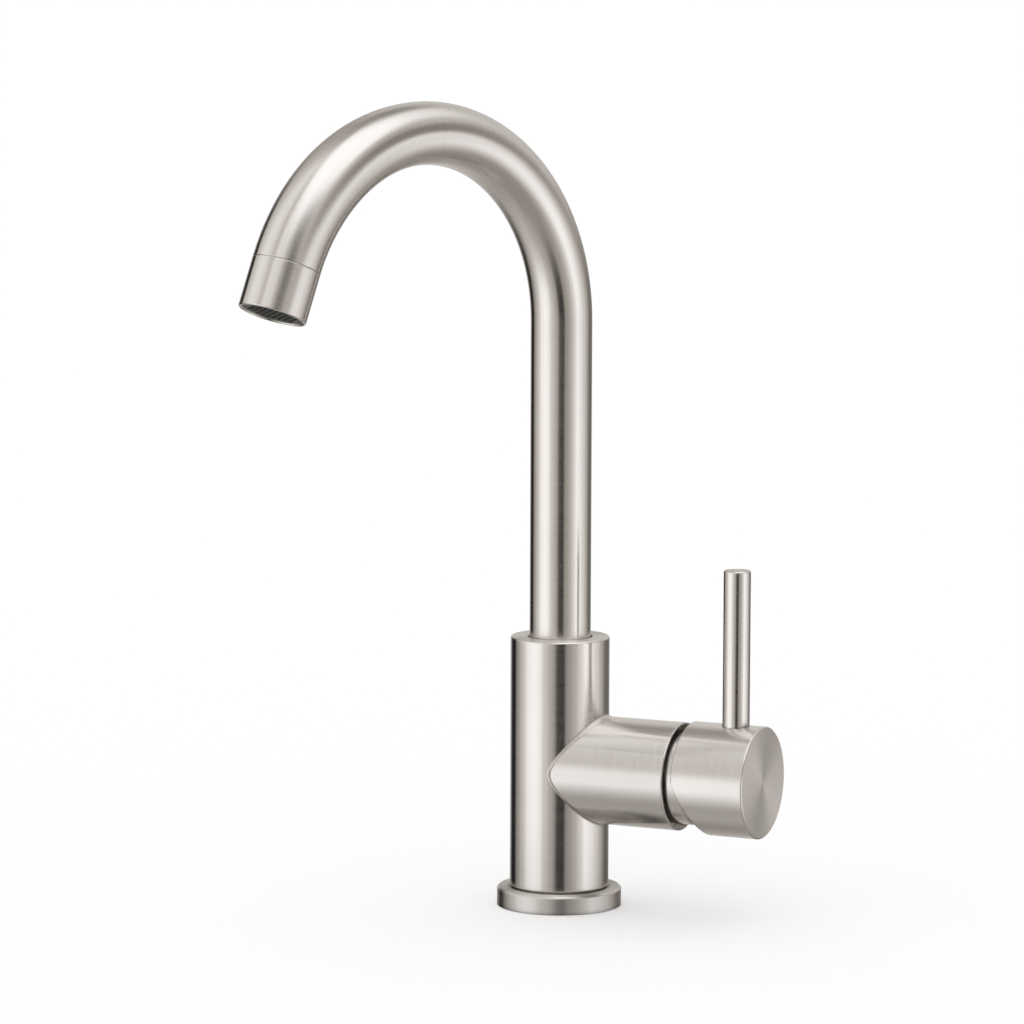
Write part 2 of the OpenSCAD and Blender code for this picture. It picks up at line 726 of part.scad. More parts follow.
// Stop ring on the cartridge's neck: its two ends meet the rotor's ear at full hot and full cold
turn_max = 50;
ear_half = 8;
module limit_ring() {
    color([0.7, 0.1, 0.1]) difference() {
        rod_x(neck_end, rotor_end - 0.2, neck_r - 0.1);
        rod_x(neck_end - 1, rotor_end + 1, rotor_neck_r + loose);
        wedge_x(neck_end - 1, rotor_end + 1, turn_max + ear_half + 2);
    }
}

// A wedge about the arm's axis, open upwards, reaching half degrees to each side
module wedge_x(x0, x1, half) {
    translate([x0, 0, arm_z]) rotate([90, 0, 90]) linear_extrude(x1 - x0)
        polygon(concat([[0, 0]], [for (a = [-half : half / 4 : half]) [30 * sin(a), 30 * cos(a)]]));
}

// Ceramic disc that slides and turns over the ports, with a mixing hollow in its sealed face
module moving_disc() {
    color([0.93, 0.92, 0.88]) translate([0, 0, carrier_rest]) difference() {
        rod_x(moving_x, carrier_x, moving_disc_d / 2);
        translate([moving_x - 1, -5, arm_z - 3.5]) cube([3.2, 10, 7]);
        for (side = [-1, 1]) translate([carrier_x - 1.5, side * 6 - 1.5, arm_z - 3]) cube([2, 3, 6]);
    }
}

carrier_half = moving_disc_d / 2 - 1.5;
module disc_carrier() {
    color([0.2, 0.22, 0.21]) translate([0, 0, carrier_rest]) {
        difference() {
            intersection() {
                rod_x(carrier_x, carrier_x + carrier_t, moving_disc_d / 2);
                block_x(carrier_x - 1, carrier_x + carrier_t + 1, carrier_half, -20, 20);
            }
            // slot for the stem's ball, which stands on the arm's axis while the carrier is at rest
            translate([0, 0, -carrier_rest])
                block_x(carrier_x + slot_floor, carrier_x + 6, ball_d / 2 + loose, -ball_d / 2 - loose, ball_d / 2 + loose);
        }
        for (side = [-1, 1]) translate([carrier_x - 1.4, side * 6 - 1.4, arm_z - 2.9]) cube([1.5, 2.8, 5.8]);
    }
}

stem_slot = stem_w / 2 + 0.2;
slot_low = -(stem_w / 2 + 3.2);
slot_high = ball_reach * sin(tilt_max) + ball_d / 2;
module cartridge_rotor() {
    color([0.9, 0.9, 0.87]) difference() {
        union() {
            rod_x(rotor_x, rotor_x + rotor_flange_t, housing_in - loose);
            rod_x(rotor_x, rotor_end, rotor_neck_r);
            // rails that guide the carrier
            intersection() {
                rod_x(rotor_x - carrier_t, rotor_x + 1, housing_in - loose);
                union() for (side = [-1, 1])
                    translate([rotor_x - carrier_t, side > 0 ? carrier_half + loose : -carrier_half - loose - 8, arm_z - 9])
                        cube([carrier_t + 1, 8, 18]);
            }
            // ear that meets the limit ring
            intersection() {
                rod_x(neck_end + slip, rotor_end, neck_r - 0.3);
                wedge_x(neck_end, rotor_end, ear_half);
            }
        }
        block_x(rotor_x - 6, rotor_end + 1, stem_slot, slot_low, slot_high);
        translate([pivot_x, -arm_r, arm_z]) rotate([-90, 0, 0]) cylinder(h = arm_d, r = pin_d / 2 + 0.02);
    }
}

module stem_pivot_pin() {
    length = 2 * sqrt(pow(rotor_neck_r, 2) - pow(pin_d / 2, 2)) - 0.6;
    color([0.75, 0.76, 0.77]) translate([pivot_x, -length / 2, arm_z]) rotate([-90, 0, 0])
        cylinder(h = length, r = pin_d / 2);
}

module cartridge_stem() {
    half = stem_w / 2;
    color([0.76, 0.6, 0.33]) difference() {
        union() {
            // square bar outwards, round eye at the pivot, finger and ball inwards
            block_x(pivot_x, stem_end, half, -half, half);
            translate([pivot_x, -half, arm_z]) rotate([-90, 0, 0]) cylinder(h = stem_w, r = half);
            rod_x(ball_x, pivot_x, ball_d / 2 - 0.5);
            translate([ball_x, 0, arm_z]) sphere(r = ball_d / 2);
        }
        translate([pivot_x, -arm_r, arm_z]) rotate([-90, 0, 0]) cylinder(h = arm_d, r = pin_d / 2 + fit);
        // dimple that takes the set screw's point
        translate([screw_x, 0, arm_z - half - eps]) cylinder(h = 0.8, r1 = 1.8, r2 = 1);
    }
}

module handle_hub() {
    floor_x = hub_back + hub_cavity;
    color([0.72, 0.69, 0.65]) difference() {
        union() {
            cone_x(hub_back, hub_back + hub_rear_bevel, hub_r - hub_rear_bevel, hub_r);
            rod_x(hub_back + hub_rear_bevel, hub_face - hub_bevel, hub_r);
            cone_x(hub_face - hub_bevel, hub_face, hub_r, hub_r - hub_bevel);
        }
        rod_x(hub_back - 1, floor_x, hub_in);
        block_x(floor_x - 1, stem_end + 0.5, stem_w / 2 + slip, -stem_w / 2 - slip, stem_w / 2 + slip);
        // relief cut that keeps the lower rear edge off the arm when the handle tilts
        translate([hub_back, -hub_d, arm_z + relief_start]) rotate([0, -relief_angle, 0])
            translate([-hub_d, 0, -2 * hub_d]) cube([hub_d, 2 * hub_d, 2 * hub_d]);
        // seat and thread for the lever
        translate([lever_x, 0, lever_foot]) cylinder(h = hub_r, r = lever_r + fit);
        translate([lever_x, 0, lever_foot - tenon_len - 1]) cylinder(h = tenon_len + 2, r = tenon_d / 2 + fit);
        // set screw from below
        translate([screw_x, 0, arm_z - hub_r - 1]) cylinder(h = hub_r, r = screw_r + fit);
        translate([screw_x, 0, arm_z - hub_r - 1]) cylinder(h = plug_t + 2, r = plug_r + fit);
    }
}

module handle_lever() {
    color([0.72, 0.69, 0.65]) translate([lever_x, 0, 0]) {
        translate([0, 0, lever_foot]) cylinder(h = lever_top - lever_bevel - lever_foot, r = lever_r);
        translate([0, 0, lever_top - lever_bevel])
            cylinder(h = lever_bevel, r1 = lever_r, r2 = lever_r - lever_bevel);
        translate([0, 0, lever_foot - tenon_len]) cylinder(h = tenon_len + 1, r = tenon_d / 2);
    }
}

module handle_set_screw() {
    top = arm_z - stem_w / 2;
    color([0.3, 0.3, 0.32]) difference() {
        union() {
            translate([screw_x, 0, top - 9]) cylinder(h = 9, r = screw_r);
            translate([screw_x, 0, top]) cylinder(h = 0.5, r1 = 1.4, r2 = 1);
        }
        translate([screw_x, 0, top - 10]) cylinder(h = 4, d = 2 / cos(30), $fn = 6);
    }
}

module set_screw_plug() {
    color([0.3, 0.3, 0.3]) intersection() {
        translate([screw_x, 0, arm_z - hub_r - 1]) cylinder(h = plug_t + 2, r = plug_r);
        rod_x(hub_back, hub_face, hub_r - 0.1);
    }
}

body();
base_flange();
base_gasket();
mounting_shank();
rubber_washer();
steel_washer();
mounting_nut();
spout_thrust_washer();
spout_tube();
spout_bush();
spout_glide_rings();
spout_o_rings();
spout_snap_ring();
outlet_insert();
aerator_housing();
aerator_gasket();
inlet_screen();
aerator_diffuser();
aerator_grille();
cartridge_base();
base_port_seals();
disc_port_seals();
fixed_disc();
cartridge_housing();
cartridge_nut();
bonnet_ring();
limit_ring();
moving_disc();
disc_carrier();
cartridge_rotor();
stem_pivot_pin();
cartridge_stem();
handle_hub();
handle_lever();
handle_set_screw();
set_screw_plug();
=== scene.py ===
"""Single-lever gooseneck bar faucet in brushed nickel, on a plain white surface."""

import math

import bpy
from mathutils import Matrix, Vector

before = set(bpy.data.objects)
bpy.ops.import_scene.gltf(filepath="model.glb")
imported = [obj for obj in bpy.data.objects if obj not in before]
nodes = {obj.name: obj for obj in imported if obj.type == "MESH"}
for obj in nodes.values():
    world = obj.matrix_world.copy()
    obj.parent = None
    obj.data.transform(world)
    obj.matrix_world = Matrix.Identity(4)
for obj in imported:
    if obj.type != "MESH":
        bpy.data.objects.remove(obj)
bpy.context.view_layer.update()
scene = bpy.context.scene
scene.view_settings.view_transform = "Standard"

# Sizes of the object that its materials need, in metres and radians
ARM_Z = 0.057
ARM_FROM = 0.02175  # the casting is turned about the arm's axis beyond this reach, just outside the column
LEVER_X = 0.078
ARCH_START = 0.240
ARCH_R = 0.078
ARCH_SWEEP = math.radians(158)
ARCH_MARGIN = 0.002  # the spout's end face keeps its own normal
SPOUT_AZIMUTH = math.radians(-110)
SPOUT_WAY = (math.cos(SPOUT_AZIMUTH), math.sin(SPOUT_AZIMUTH), 0.0)

# Finish: scratches to the metre, the radius that edges seem to have, and the grain of the moulded pieces
FINE_LINES = 3000.0
COARSE_LINES = 900.0
EDGE_RADIUS = 0.0005
GRAIN_DETAIL = 400.0
GRAIN_DEPTH = 0.04
NICKEL = (0.79, 0.755, 0.725)
BRASS = (0.75, 0.58, 0.33)
BRASS_ROUGH = 0.3

# Where the camera stands: distance, height and bearing from the column. Angles are in radians, the lens in millimetres
CAMERA_DISTANCE = 2.0021
CAMERA_HEIGHT = 0.4028
CAMERA_BEARING = 0.4293
CAMERA_YAW = 0.0099
CAMERA_PITCH = -0.1198
CAMERA_ROLL = 0.0033
CAMERA_LENS = 174.13
CAMERA_SENSOR = 36.0
CAMERA_CLIP = 100.0

# The floor, and the glow that brings its tone to white where nothing shades it
FLOOR_SIZE = 40.0
FLOOR_Z = -0.0002
FLOOR_TONE = 0.70
FLOOR_GLOW = 0.332
# The veil on the floor near the object, which paints shade into the metal's reflections
SHADE_RADIUS = 0.22
SHADE_Z = -0.0001
SHADE_TONE = 0.79
# The white world's light on what isn't metal or glass
WORLD_LIGHT = 0.96
# The dome that the metal reflects, and the colour of its dim stretches
DOME_RADIUS = 16.0
DIM_WARMTH = (1.0, 0.945, 0.885)

# What stands round the object near the horizon, by bearing from the camera in degrees: 1 leaves the white background
# as it is, less is a dark flag before it, and more is a soft box
BAND = [(-180, 0.72), (-162, 0.58), (-153, 0.22), (-146, 0.02), (-130, 0.01), (-114, 0.38), (-96, 0.66), (-78, 1.12),
        (-62, 1.25), (-48, 1.15), (-36, 0.72), (-20, 0.47), (-12, 0.29), (-7, 0.0), (9, 0.0), (15, 0.34), (22, 0.41),
        (36, 0.56), (50, 0.86), (64, 1.30), (78, 1.12), (94, 0.82), (112, 0.50), (127, 0.19), (142, 0.13), (155, 0.22),
        (166, 0.36), (180, 0.72)]
# The same further up, where the flags end
UPPER = [(-180, 0.68), (-160, 0.38), (-135, 0.50), (-118, 0.68), (-92, 0.94), (-72, 0.88), (-61, 0.76), (-50, 0.58),
         (-33, 0.90), (-14, 0.80), (3, 0.42), (14, 0.18), (27, 0.20), (40, 0.56), (52, 0.74), (66, 0.66), (80, 0.42),
         (106, 0.62), (146, 0.62), (180, 0.68)]
# The same below the object
LOWER = [(-180, 0.52), (-150, 0.40), (-82, 0.56), (-45, 0.47), (0, 0.38), (45, 0.34), (95, 0.35), (135, 0.26),
         (160, 0.45), (180, 0.52)]
# High up: a dim patch behind, soft boxes on the right and over the camera, and the large one overhead.
# Each has a bearing, a height, the radius of its full strength, the radius where it ends, and its strength
HIGH = [(174, 56, 5, 20, 0.26), (122, 52, 8, 20, 0.92), (-3, 55, 10, 18, 1.08), (46, 67, 23, 37, 1.32)]


# ---------------------------------------------------------------- node helpers
class Graph:
    """Short names for the nodes of one node tree."""

    def __init__(self, tree):
        self.tree = tree
        tree.nodes.clear()

    def add(self, kind, **settings):
        node = self.tree.nodes.new(kind)
        for key, value in settings.items():
            setattr(node, key, value)
        return node

    def put(self, socket, value):
        if isinstance(value, bpy.types.NodeSocket):
            self.tree.links.new(value, socket)
        elif value is not None:
            socket.default_value = value

    def math(self, operation, a, b=None, c=None):
        node = self.add("ShaderNodeMath", operation=operation)
        for socket, value in zip(node.inputs, (a, b, c)):
            self.put(socket, value)
        return node.outputs[0]

    def vec(self, operation, a, b=None, scale=None):
        node = self.add("ShaderNodeVectorMath", operation=operation)
        self.put(node.inputs[0], a)
        self.put(node.inputs[1], b)
        if scale is not None:
            self.put(node.inputs["Scale"], scale)
        return node.outputs["Value" if operation in ("DOT_PRODUCT", "LENGTH") else "Vector"]

    def xyz(self, vector):
        node = self.add("ShaderNodeSeparateXYZ")
        self.put(node.inputs[0], vector)
        return node.outputs[0:3]

    def join(self, x, y, z):
        node = self.add("ShaderNodeCombineXYZ")
        for socket, value in zip(node.inputs, (x, y, z)):
            self.put(socket, value)
        return node.outputs[0]

    def mix(self, share, a, b, kind="FLOAT"):
        node = self.add("ShaderNodeMix", data_type=kind)
        first, result = {"FLOAT": (2, 0), "VECTOR": (4, 1)}[kind]
        self.put(node.inputs[0], share)
        self.put(node.inputs[first], a)
        self.put(node.inputs[first + 1], b)
        return node.outputs[result]

    def ramp(self, value, low, high, to_low=0.0, to_high=1.0, smooth=True):
        node = self.add("ShaderNodeMapRange", interpolation_type="SMOOTHSTEP" if smooth else "LINEAR")
        for socket, number in zip(node.inputs, (value, low, high, to_low, to_high)):
            self.put(socket, number)
        return node.outputs[0]

    def near(self, value, centre, outer, inner, top=1.0):
        """0 away from the centre, and top close to it."""
        away = self.math("ABSOLUTE", self.math("SUBTRACT", value, centre))
        return self.ramp(away, outer, inner, 0.0, top)

    def noise(self, vector, w=None, scale=1.0, detail=2.0, rough=0.5):
        node = self.add("ShaderNodeTexNoise", noise_dimensions="3D" if w is None else "4D")
        self.put(node.inputs["Vector"], vector)
        if w is not None:
            self.put(node.inputs["W"], w)
        self.put(node.inputs["Scale"], scale)
        self.put(node.inputs["Detail"], detail)
        self.put(node.inputs["Roughness"], rough)
        return node.outputs["Fac"]

    def curve(self, bearing, points):
        """A smooth line through a few points, by bearing."""
        node = self.add("ShaderNodeValToRGB")
        node.color_ramp.interpolation = "EASE"
        self.put(node.inputs[0], self.ramp(bearing, -180.0, 180.0, smooth=False))
        stops = node.color_ramp.elements
        top = max(strength for _, strength in points)
        for i, (where, strength) in enumerate(points):
            place = (where + 180.0) / 360.0
            stop = stops[i] if i < 2 else stops.new(place)
            stop.position = place
            shade = strength / top
            stop.color = (shade, shade, shade, 1)
        return self.math("MULTIPLY", node.outputs[0], top)

    def to_world(self, vector, kind):
        node = self.add("ShaderNodeVectorTransform", vector_type=kind, convert_from="OBJECT", convert_to="WORLD")
        self.put(node.inputs[0], vector)
        return node.outputs[0]

    def bump(self, strength, height, normal=None):
        node = self.add("ShaderNodeBump")
        self.put(node.inputs["Strength"], strength)
        self.put(node.inputs["Distance"], 0.0001)
        self.put(node.inputs["Height"], height)
        self.put(node.inputs["Normal"], normal)
        return node.outputs[0]

    def both(self, first, second):
        node = self.add("ShaderNodeAddShader")
        self.put(node.inputs[0], first.outputs[0])
        self.put(node.inputs[1], second.outputs[0])
        return node

    def end(self, shader, kind="ShaderNodeOutputMaterial"):
        self.put(self.add(kind).inputs[0], shader.outputs[0])


def new_material(name):
    material = bpy.data.materials.new(name)
    material.use_nodes = True
    return material, Graph(material.node_tree)


# ---------------------------------------------------------------- how each piece is turned
# Each gives, for a point, the axis that the piece turns about, the place along it, and the radial direction and distance
def axis_z(g, p, n):
    """Turned about the upright axis through the origin."""
    x, y, z = g.xyz(p)
    out = g.join(x, y, 0.0)
    return (0, 0, 1), z, g.vec("NORMALIZE", out), g.vec("LENGTH", out)


def axis_lever(g, p, n):
    """Turned about the lever's own upright axis."""
    x, y, z = g.xyz(p)
    out = g.join(g.math("SUBTRACT", x, LEVER_X), y, 0.0)
    return (0, 0, 1), z, g.vec("NORMALIZE", out), g.vec("LENGTH", out)


def axis_x(g, p, n):
    """Turned about the arm's axis."""
    x, y, z = g.xyz(p)
    out = g.join(0.0, y, g.math("SUBTRACT", z, ARM_Z))
    return (1, 0, 0), x, g.vec("NORMALIZE", out), g.vec("LENGTH", out)


def axis_body(g, p, n):
    """The casting: about the upright axis on the column, and about the arm's axis beyond it."""
    upright, z, out_z, reach = axis_z(g, p, n)
    level, x, out_x, _ = axis_x(g, p, n)
    arm = g.math("GREATER_THAN", reach, ARM_FROM)
    axis = g.mix(arm, upright, level, "VECTOR")
    return axis, g.mix(arm, z, x), g.mix(arm, out_z, out_x, "VECTOR"), reach


def arch_turn(g, p):
    """The point's height, and how far round the arch it is, in radians: 0 on the riser."""
    z = g.xyz(p)[2]
    across = g.math("SUBTRACT", g.vec("DOT_PRODUCT", p, SPOUT_WAY), ARCH_R)
    rise = g.math("MAXIMUM", g.math("SUBTRACT", z, ARCH_START), 0.0)
    return z, g.math("ARCTAN2", rise, g.math("MULTIPLY", across, -1.0))


def axis_arch(g, p, n):
    """Drawn along the riser and the arch: straight up to the arch's start and round its centre from there."""
    z, turn = arch_turn(g, p)
    along = g.math("ADD", g.math("MINIMUM", z, ARCH_START), g.math("MULTIPLY", turn, ARCH_R))
    forward = g.vec("SCALE", SPOUT_WAY, scale=g.math("SINE", turn))
    axis = g.vec("ADD", forward, g.join(0.0, 0.0, g.math("COSINE", turn)))
    return axis, along, n, along


def form_arch(g, p, n):
    """The tube's exact normal, which points away from its centre line, or to it in the bore, and where it holds."""
    z, turn = arch_turn(g, p)
    reach = g.math("SUBTRACT", ARCH_R, g.math("MULTIPLY", g.math("COSINE", turn), ARCH_R))
    level = g.math("ADD", g.math("MINIMUM", z, ARCH_START), g.math("MULTIPLY", g.math("SINE", turn), ARCH_R))
    centre = g.vec("ADD", g.vec("SCALE", SPOUT_WAY, scale=reach), g.join(0.0, 0.0, level))
    away = g.vec("NORMALIZE", g.vec("SUBTRACT", p, centre))
    bore = g.math("LESS_THAN", g.vec("DOT_PRODUCT", away, n), -0.3)
    normal = g.vec("SCALE", away, scale=g.math("SUBTRACT", 1.0, g.math("MULTIPLY", bore, 2.0)))
    return normal, g.math("LESS_THAN", turn, ARCH_SWEEP - ARCH_MARGIN)


def axis_outlet(g, p, n):
    """Turned about the outlet's axis."""
    way, up = Vector(SPOUT_WAY), Vector((0, 0, 1))
    end = way * (ARCH_R - ARCH_R * math.cos(ARCH_SWEEP)) + up * (ARCH_START + ARCH_R * math.sin(ARCH_SWEEP))
    axis = tuple(way * math.sin(ARCH_SWEEP) + up * math.cos(ARCH_SWEEP))
    away = g.vec("SUBTRACT", p, tuple(end))
    along = g.vec("DOT_PRODUCT", away, axis)
    out = g.vec("SUBTRACT", away, g.vec("SCALE", axis, scale=along))
    return axis, along, g.vec("NORMALIZE", out), g.vec("LENGTH", out)


# ---------------------------------------------------------------- materials
def brushed(name, layout, base=NICKEL, rough=0.2, aniso=0.9, flat_rough=0.2, flat_aniso=None, form=None,
            crease_shade_reach=0.0016):
    """Brushed metal. layout says how the piece is turned, and form gives the exact normal of a curved wall, so that the
    mesh's facets don't show. flat_rough is added on flat faces, and flat_aniso stands there in place of aniso. The last
    argument is how far from a crease the painted shade reaches, which darkens the metal where two surfaces meet."""
    material, g = new_material(name)
    coords = g.add("ShaderNodeTexCoord")
    p, n = coords.outputs["Object"], coords.outputs["Normal"]
    axis, along, outward, radius = layout(g, p, n)
    if form:
        exact, on_wall = form(g, p, n)
        n = g.mix(on_wall, n, exact, "VECTOR")
    flat = g.ramp(g.math("ABSOLUTE", g.vec("DOT_PRODUCT", n, axis)), 0.75, 0.85)
    tangent = g.mix(flat, axis, outward, "VECTOR")
    line = g.mix(flat, along, radius)
    around = g.mix(flat, n, outward, "VECTOR")

    # scratches that run round the piece, and a slow unevenness of its tone
    fine = g.noise(g.vec("SCALE", around, scale=3.0), g.math("MULTIPLY", line, FINE_LINES), 1.0, 2.0, 0.6)
    coarse = g.noise(g.vec("SCALE", around, scale=1.2), g.math("MULTIPLY", line, COARSE_LINES), 1.0, 2.0, 0.5)
    lines = g.math("ADD", g.math("MULTIPLY", fine, 0.6), g.math("MULTIPLY", coarse, 0.4))
    tone = g.ramp(lines, 0.3, 0.7, 0.965, 1.025, smooth=False)
    cloud = g.ramp(g.noise(p, None, 28.0, 2.0), 0.3, 0.7, 0.98, 1.02, smooth=False)
    shade = g.math("MULTIPLY", tone, cloud)
    if crease_shade_reach:
        # painted shade: darker where two surfaces meet, by ambient occlusion
        crease_shade = g.add("ShaderNodeAmbientOcclusion", samples=8)
        crease_shade.inputs["Distance"].default_value = crease_shade_reach
        shade = g.math("MULTIPLY", shade, g.ramp(crease_shade.outputs["AO"], 0.3, 0.9, 0.35, 1.0))
    # a turned flat face scatters more than a turned wall
    mean = g.mix(flat, rough, rough + flat_rough)
    roughness = g.math("ADD", mean, g.ramp(lines, 0.25, 0.75, -0.03, 0.035, smooth=False))

    # edges catch the light as if slightly rounded
    edge = g.add("ShaderNodeBevel", samples=8)
    edge.inputs["Radius"].default_value = EDGE_RADIUS
    normal = edge.outputs[0]
    if form:
        normal = g.mix(on_wall, normal, g.to_world(exact, "NORMAL"), "VECTOR")

    shader = g.add("ShaderNodeBsdfPrincipled")
    g.put(shader.inputs["Base Color"], g.vec("SCALE", base, scale=shade))
    g.put(shader.inputs["Metallic"], 1.0)
    g.put(shader.inputs["Roughness"], roughness)
    g.put(shader.inputs["Anisotropic"], aniso if flat_aniso is None else g.mix(flat, aniso, flat_aniso))
    g.put(shader.inputs["Tangent"], g.to_world(tangent, "VECTOR"))
    g.put(shader.inputs["Normal"], g.bump(0.006, lines, normal))
    g.end(shader)
    return material


def plain(name, base, rough, metallic=0.0):
    """Moulded, machined or rubber piece with a fine grain."""
    material, g = new_material(name)
    speck = g.noise(g.add("ShaderNodeTexCoord").outputs["Object"], None, GRAIN_DETAIL, 3.0, 0.6)
    tone = g.ramp(speck, 0.3, 0.7, 1.0 - GRAIN_DEPTH, 1.0 + GRAIN_DEPTH, smooth=False)
    shader = g.add("ShaderNodeBsdfPrincipled")
    g.put(shader.inputs["Base Color"], g.vec("SCALE", base, scale=tone))
    g.put(shader.inputs["Roughness"], g.ramp(speck, 0.3, 0.7, rough - 0.05, rough + 0.05, smooth=False))
    g.put(shader.inputs["Metallic"], metallic)
    g.put(shader.inputs["Normal"], g.bump(0.1, speck))
    g.end(shader)
    return material


def paint(material, *names):
    for name in names:
        slots = nodes[name].data.materials
        if len(slots) == 0:
            slots.append(material)
        for i in range(len(slots)):
            slots[i] = material


paint(brushed("nickel_body", axis_body), "body")
# painted shade: the flange's nickel is a little darker than the rest, standing in for the dimmer light near the floor
paint(brushed("nickel_flange", axis_z, (0.78, 0.745, 0.715), 0.33, crease_shade_reach=0.003), "base_flange")
paint(brushed("nickel_spout", axis_arch, form=form_arch, crease_shade_reach=0.0), "spout_tube")
paint(brushed("nickel_outlet", axis_outlet, crease_shade_reach=0.0), "aerator_housing")
# painted light: the hub's nickel is a little lighter than the rest, to brighten it
paint(brushed("nickel_hub", axis_x, (0.81, 0.775, 0.745), aniso=0.4, flat_rough=0.52, flat_aniso=0.6),
      "handle_hub", "bonnet_ring")
paint(brushed("nickel_lever", axis_lever), "handle_lever")
paint(brushed("brass_turned", axis_z, BRASS, BRASS_ROUGH), "mounting_shank", "mounting_nut", "spout_bush")
paint(brushed("brass_outlet", axis_outlet, BRASS, BRASS_ROUGH), "outlet_insert")
paint(brushed("brass_cartridge", axis_x, BRASS, BRASS_ROUGH), "cartridge_nut", "cartridge_stem")
paint(plain("rubber_black", (0.03, 0.03, 0.03), 0.7), "base_gasket", "rubber_washer", "spout_o_rings",
      "aerator_gasket", "base_port_seals", "disc_port_seals")
paint(plain("acetal_white", (0.85, 0.85, 0.82), 0.45), "spout_thrust_washer", "spout_glide_rings", "cartridge_base",
      "cartridge_housing", "cartridge_rotor")
paint(plain("acetal_dark", (0.032, 0.035, 0.032), 0.45), "aerator_diffuser", "aerator_grille", "disc_carrier")
paint(plain("plug_grey", (0.3, 0.3, 0.3), 0.5), "set_screw_plug")
paint(plain("limit_red", (0.6, 0.05, 0.04), 0.45), "limit_ring")
paint(plain("ceramic_cream", (0.88, 0.86, 0.80), 0.12), "fixed_disc", "moving_disc")
paint(plain("steel_plain", (0.62, 0.62, 0.62), 0.3, 1.0), "steel_washer", "spout_snap_ring", "inlet_screen",
      "stem_pivot_pin")
paint(plain("steel_black", (0.08, 0.08, 0.08), 0.35, 1.0), "handle_set_screw")


# ---------------------------------------------------------------- studio
def make_camera():
    data = bpy.data.cameras.new("camera")
    data.sensor_fit = "HORIZONTAL"
    data.sensor_width = CAMERA_SENSOR
    data.lens = CAMERA_LENS
    data.clip_end = CAMERA_CLIP
    camera = bpy.data.objects.new("camera", data)
    scene.collection.objects.link(camera)
    place = Vector((CAMERA_DISTANCE * math.sin(CAMERA_BEARING), -CAMERA_DISTANCE * math.cos(CAMERA_BEARING),
                    CAMERA_HEIGHT))
    turn = CAMERA_BEARING + CAMERA_YAW
    forward = Vector((-math.sin(turn) * math.cos(CAMERA_PITCH), math.cos(turn) * math.cos(CAMERA_PITCH),
                      math.sin(CAMERA_PITCH)))
    right = forward.cross(Vector((0, 0, 1))).normalized()
    up = right.cross(forward)
    c, s = math.cos(CAMERA_ROLL), math.sin(CAMERA_ROLL)
    right, up = c * right + s * up, -s * right + c * up
    matrix = Matrix((right, up, -forward)).transposed().to_4x4()
    matrix.translation = place
    camera.matrix_world = matrix
    scene.camera = camera


def seen(g):
    """1 for the rays that see the white background: the camera's, and those that metal and glass send on."""
    path = g.add("ShaderNodeLightPath").outputs
    gloss = g.math("MAXIMUM", path["Is Glossy Ray"], path["Is Transmission Ray"])
    return g.math("MAXIMUM", path["Is Camera Ray"], gloss)


def make_floor():
    """White floor with the object's soft shadow. The photograph's metal doesn't show it, so it stays out of gloss."""
    bpy.ops.mesh.primitive_plane_add(size=FLOOR_SIZE, location=(0, 0, FLOOR_Z))
    floor = bpy.context.object
    floor.name = "floor"
    floor.visible_glossy = False
    material, g = new_material("floor_white")
    tone = g.add("ShaderNodeBsdfDiffuse")
    g.put(tone.inputs["Color"], (FLOOR_TONE, FLOOR_TONE, FLOOR_TONE, 1))
    glow = g.add("ShaderNodeEmission")
    g.put(glow.inputs["Strength"], g.math("MULTIPLY", seen(g), FLOOR_GLOW))
    g.end(g.both(tone, glow))
    floor.data.materials.append(material)


def make_world():
    """White where it is seen, and a little less bright as the light that falls on the object."""
    world = bpy.data.worlds.new("studio")
    scene.world = world
    world.use_nodes = True
    g = Graph(world.node_tree)
    back = g.add("ShaderNodeBackground")
    g.put(back.inputs["Color"], (1, 1, 1, 1))
    g.put(back.inputs["Strength"], g.mix(seen(g), WORLD_LIGHT, 1.0))
    g.end(back, "ShaderNodeOutputWorld")


def gloss_only(thing):
    thing.visible_camera = thing.visible_diffuse = thing.visible_transmission = thing.visible_shadow = False


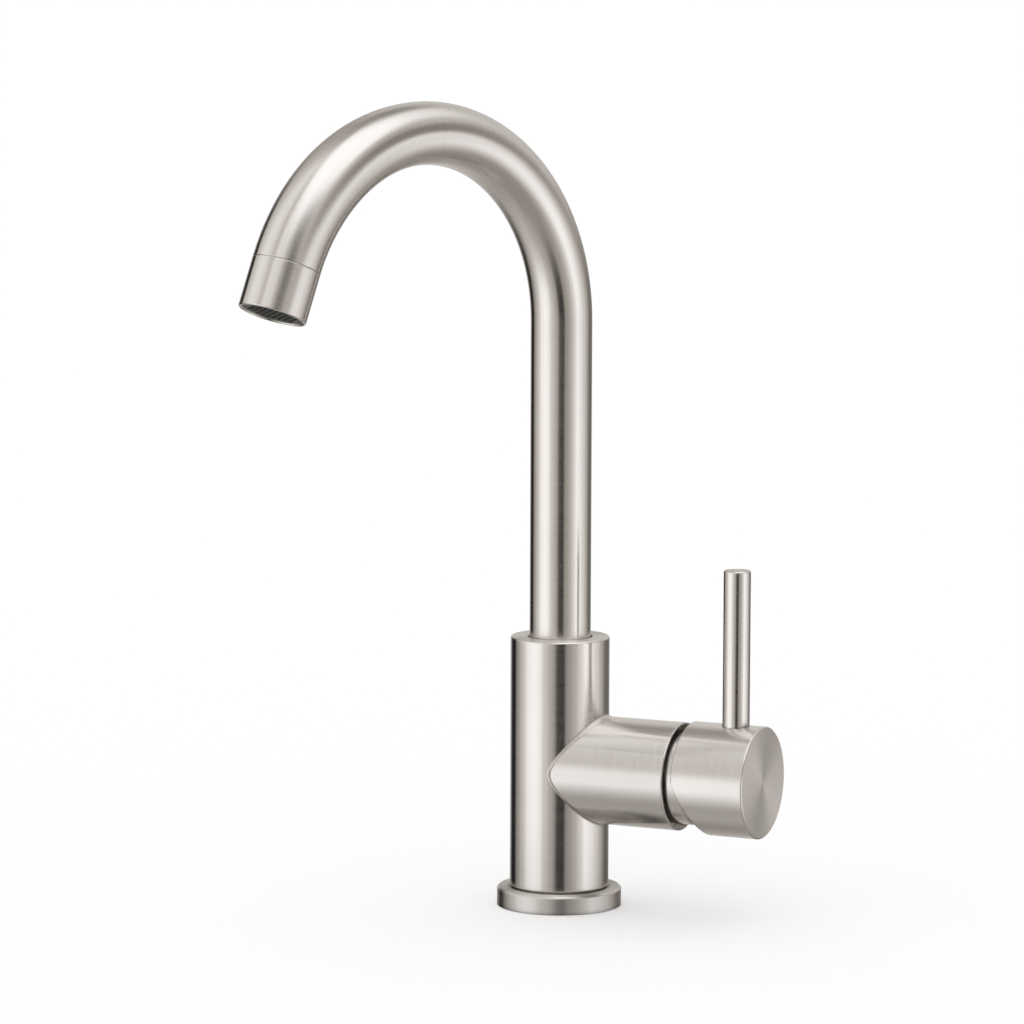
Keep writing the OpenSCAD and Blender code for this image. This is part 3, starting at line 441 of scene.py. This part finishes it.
def make_flags():
    """The studio's soft flags and boxes, far round the object. They show only in gloss, and light nothing else."""
    bpy.ops.mesh.primitive_uv_sphere_add(segments=64, ring_count=32, radius=DOME_RADIUS)
    flags = bpy.context.object
    flags.name = "studio_flags"
    gloss_only(flags)
    material, g = new_material("studio_flags")
    direction = g.vec("NORMALIZE", g.add("ShaderNodeTexCoord").outputs["Object"])
    x, y, z = g.xyz(direction)
    bearing = g.math("ARCTAN2", x, g.math("MULTIPLY", y, -1.0))
    bearing = g.math("DEGREES", g.math("SUBTRACT", bearing, CAMERA_BEARING))
    bearing = g.math("WRAP", bearing, 180.0, -180.0)
    height = g.math("DEGREES", g.math("ARCSINE", z))
    # the flag on the right leans, so that its foot stands further round
    lean = g.math("MULTIPLY", g.ramp(height, -7.0, -26.0, 0.0, 13.0), g.ramp(bearing, 70.0, 105.0))
    lean = g.math("MULTIPLY", lean, g.ramp(bearing, 165.0, 140.0))
    band = g.curve(g.math("SUBTRACT", bearing, lean), BAND)
    # the dark flag behind on the left stands taller than the rest, and the soft box on the left a little
    tall = g.math("ADD", g.near(bearing, -145.0, 24.0, 9.0, 19.0), g.near(bearing, -54.0, 36.0, 16.0, 4.0))
    pattern = g.mix(g.ramp(g.math("SUBTRACT", height, tall), -4.0, 16.0), band, g.curve(bearing, UPPER))
    # a dim gap over the soft box on the right
    gap = g.math("MULTIPLY", g.ramp(height, 1.0, 12.0), g.ramp(height, 33.0, 22.0))
    gap = g.math("MULTIPLY", gap, g.near(bearing, 80.0, 52.0, 22.0))
    pattern = g.math("MULTIPLY", pattern, g.math("SUBTRACT", 1.0, g.math("MULTIPLY", gap, 0.48)))
    pattern = g.mix(g.ramp(height, -15.0, -54.0), pattern, g.curve(bearing, LOWER))
    for turn, rise, inner, outer, strength in HIGH:
        turn, rise = CAMERA_BEARING + math.radians(turn), math.radians(rise)
        way = (math.cos(rise) * math.sin(turn), -math.cos(rise) * math.cos(turn), math.sin(rise))
        away = g.math("DEGREES", g.math("ARCCOSINE", g.vec("DOT_PRODUCT", direction, way)))
        pattern = g.mix(g.ramp(away, outer, inner), pattern, strength)
    # dim stretches of the studio are warmer than its soft boxes
    warm = g.mix(g.ramp(pattern, 0.40, 1.05, smooth=False), DIM_WARMTH, (1.0, 1.0, 1.0), "VECTOR")
    veil = g.add("ShaderNodeBsdfTransparent")
    g.put(veil.inputs["Color"], g.vec("SCALE", warm, scale=g.math("MINIMUM", pattern, 1.0)))
    glow = g.add("ShaderNodeEmission")
    g.put(glow.inputs["Strength"], g.math("MAXIMUM", g.math("SUBTRACT", pattern, 1.0), 0.0))
    g.end(g.both(veil, glow))
    material.cycles.emission_sampling = "NONE"
    flags.data.materials.append(material)


def make_shade():
    """Painted shade in gloss: the metal shows a dimmer floor near the object than further out. This thin veil does
    that, in gloss alone.
    """
    bpy.ops.mesh.primitive_circle_add(vertices=96, radius=SHADE_RADIUS, fill_type="NGON", location=(0, 0, SHADE_Z))
    shade = bpy.context.object
    shade.name = "floor_shade"
    gloss_only(shade)
    material, g = new_material("floor_shade")
    reach = g.vec("LENGTH", g.add("ShaderNodeTexCoord").outputs["Object"])
    veil = g.add("ShaderNodeBsdfTransparent")
    g.put(veil.inputs["Color"], g.ramp(reach, 0.05, 0.2, SHADE_TONE, 1.0))
    g.end(veil)
    shade.data.materials.append(material)


make_camera()
make_floor()
make_world()
make_flags()
make_shade()
